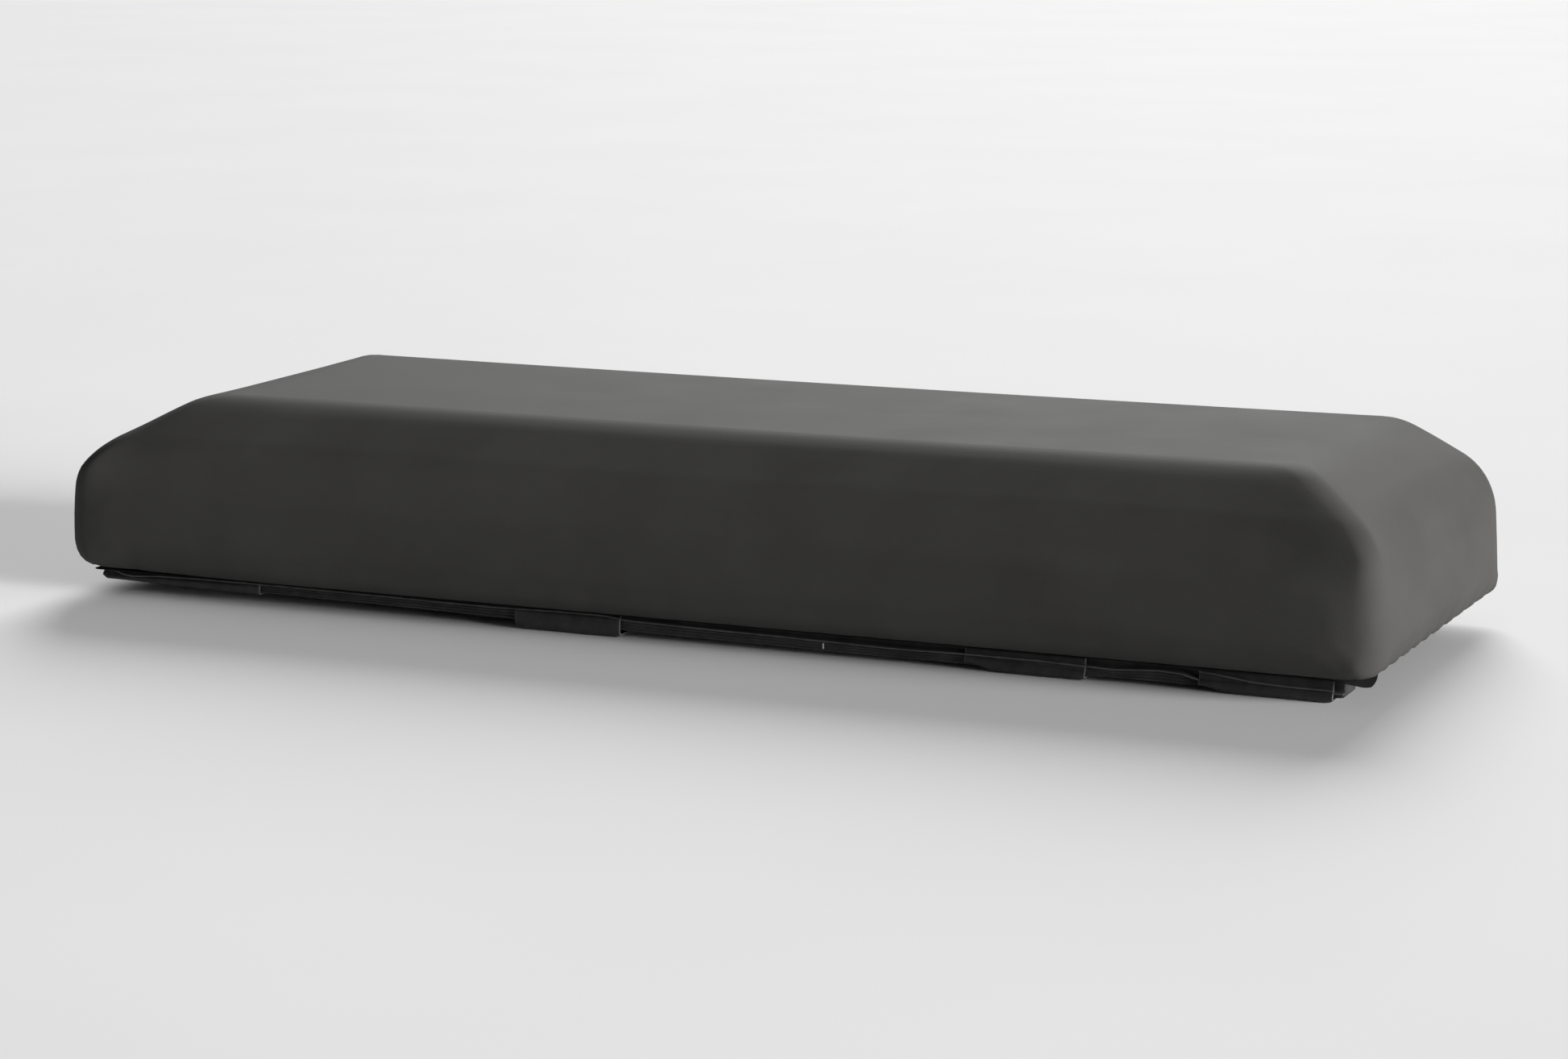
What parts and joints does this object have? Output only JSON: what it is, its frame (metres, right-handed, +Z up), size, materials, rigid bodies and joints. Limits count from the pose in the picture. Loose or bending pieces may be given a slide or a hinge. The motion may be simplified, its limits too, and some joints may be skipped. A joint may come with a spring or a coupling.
{
  "type": "futon mattress",
  "caption": "Long bevelled foam mattress pad in a smooth charcoal stretch cover, for a folding sofa bed, with black hook-and-loop flaps under its long edges.",
  "frame": {"origin": "on the surface that the part rests on, under the middle of the pad's outline", "axes": "+X along the length, +Y towards the flat back that meets the other half of the bed, +Z up to the sleeping face"},
  "size_m": [1.8996, 0.6298, 0.268],
  "materials": {
    "cover_fabric": "smooth knitted stretch fabric, charcoal grey, slight sheen",
    "elastic": "black woven elastic",
    "wadding": "white lofted polyester wadding",
    "comfort_foam": "soft polyurethane foam, cream",
    "core_foam": "resilient polyurethane foam, pale yellow",
    "base_foam": "firm polyurethane foam, pale grey",
    "base_cloth": "black spunbonded lining cloth",
    "strip_fabric": "black coated fabric, folded and sewn in layers",
    "flap_band": "black synthetic leather band, semi-matt",
    "hook_tape": "black hook tape",
    "loop_tape": "black loop tape"
  },
  "bodies": {
    "mattress": {"cover": "cover_fabric", "hem_elastic": "elastic", "fibre_wadding": "wadding", "comfort_foam": "comfort_foam", "core_foam": "core_foam", "base_foam": "base_foam", "base_cloth": "base_cloth", "front_strip": "strip_fabric", "rear_strip": "strip_fabric", "front_flap_1_loop_tape": "loop_tape", "front_flap_2_loop_tape": "loop_tape", "front_flap_3_loop_tape": "loop_tape", "front_flap_4_loop_tape": "loop_tape", "rear_flap_1_loop_tape": "loop_tape", "rear_flap_2_loop_tape": "loop_tape", "rear_flap_3_loop_tape": "loop_tape", "rear_flap_4_loop_tape": "loop_tape"},
    "front_flap_1": {"front_flap_1": "flap_band", "front_flap_1_hook_tape": "hook_tape"},
    "front_flap_2": {"front_flap_2": "flap_band", "front_flap_2_hook_tape": "hook_tape"},
    "front_flap_3": {"front_flap_3": "flap_band", "front_flap_3_hook_tape": "hook_tape"},
    "front_flap_4": {"front_flap_4": "flap_band", "front_flap_4_hook_tape": "hook_tape"},
    "rear_flap_1": {"rear_flap_1": "flap_band", "rear_flap_1_hook_tape": "hook_tape"},
    "rear_flap_2": {"rear_flap_2": "flap_band", "rear_flap_2_hook_tape": "hook_tape"},
    "rear_flap_3": {"rear_flap_3": "flap_band", "rear_flap_3_hook_tape": "hook_tape"},
    "rear_flap_4": {"rear_flap_4": "flap_band", "rear_flap_4_hook_tape": "hook_tape"}
  },
  "joints": [
    {"name": "front_flap_1_seam", "type": "hinge", "parent": "mattress", "child": "front_flap_1", "pos_m": [-0.781, -0.2815, 0.029], "axis": [-1, 0, 0], "range_deg": [0, 90]},
    {"name": "front_flap_2_seam", "type": "hinge", "parent": "mattress", "child": "front_flap_2", "pos_m": [-0.1765, -0.2815, 0.029], "axis": [-1, 0, 0], "range_deg": [0, 90]},
    {"name": "front_flap_3_seam", "type": "hinge", "parent": "mattress", "child": "front_flap_3", "pos_m": [0.474, -0.2815, 0.029], "axis": [-1, 0, 0], "range_deg": [0, 90]},
    {"name": "front_flap_4_seam", "type": "hinge", "parent": "mattress", "child": "front_flap_4", "pos_m": [0.793, -0.2815, 0.029], "axis": [-1, 0, 0], "range_deg": [0, 90]},
    {"name": "rear_flap_1_seam", "type": "hinge", "parent": "mattress", "child": "rear_flap_1", "pos_m": [-0.7345, 0.2815, 0.029], "axis": [1, 0, 0], "range_deg": [0, 90]},
    {"name": "rear_flap_2_seam", "type": "hinge", "parent": "mattress", "child": "rear_flap_2", "pos_m": [-0.2495, 0.2815, 0.029], "axis": [1, 0, 0], "range_deg": [0, 90]},
    {"name": "rear_flap_3_seam", "type": "hinge", "parent": "mattress", "child": "rear_flap_3", "pos_m": [0.2495, 0.2815, 0.029], "axis": [1, 0, 0], "range_deg": [0, 90]},
    {"name": "rear_flap_4_seam", "type": "hinge", "parent": "mattress", "child": "rear_flap_4", "pos_m": [0.7345, 0.2815, 0.029], "axis": [1, 0, 0], "range_deg": [0, 90]}
  ]
}
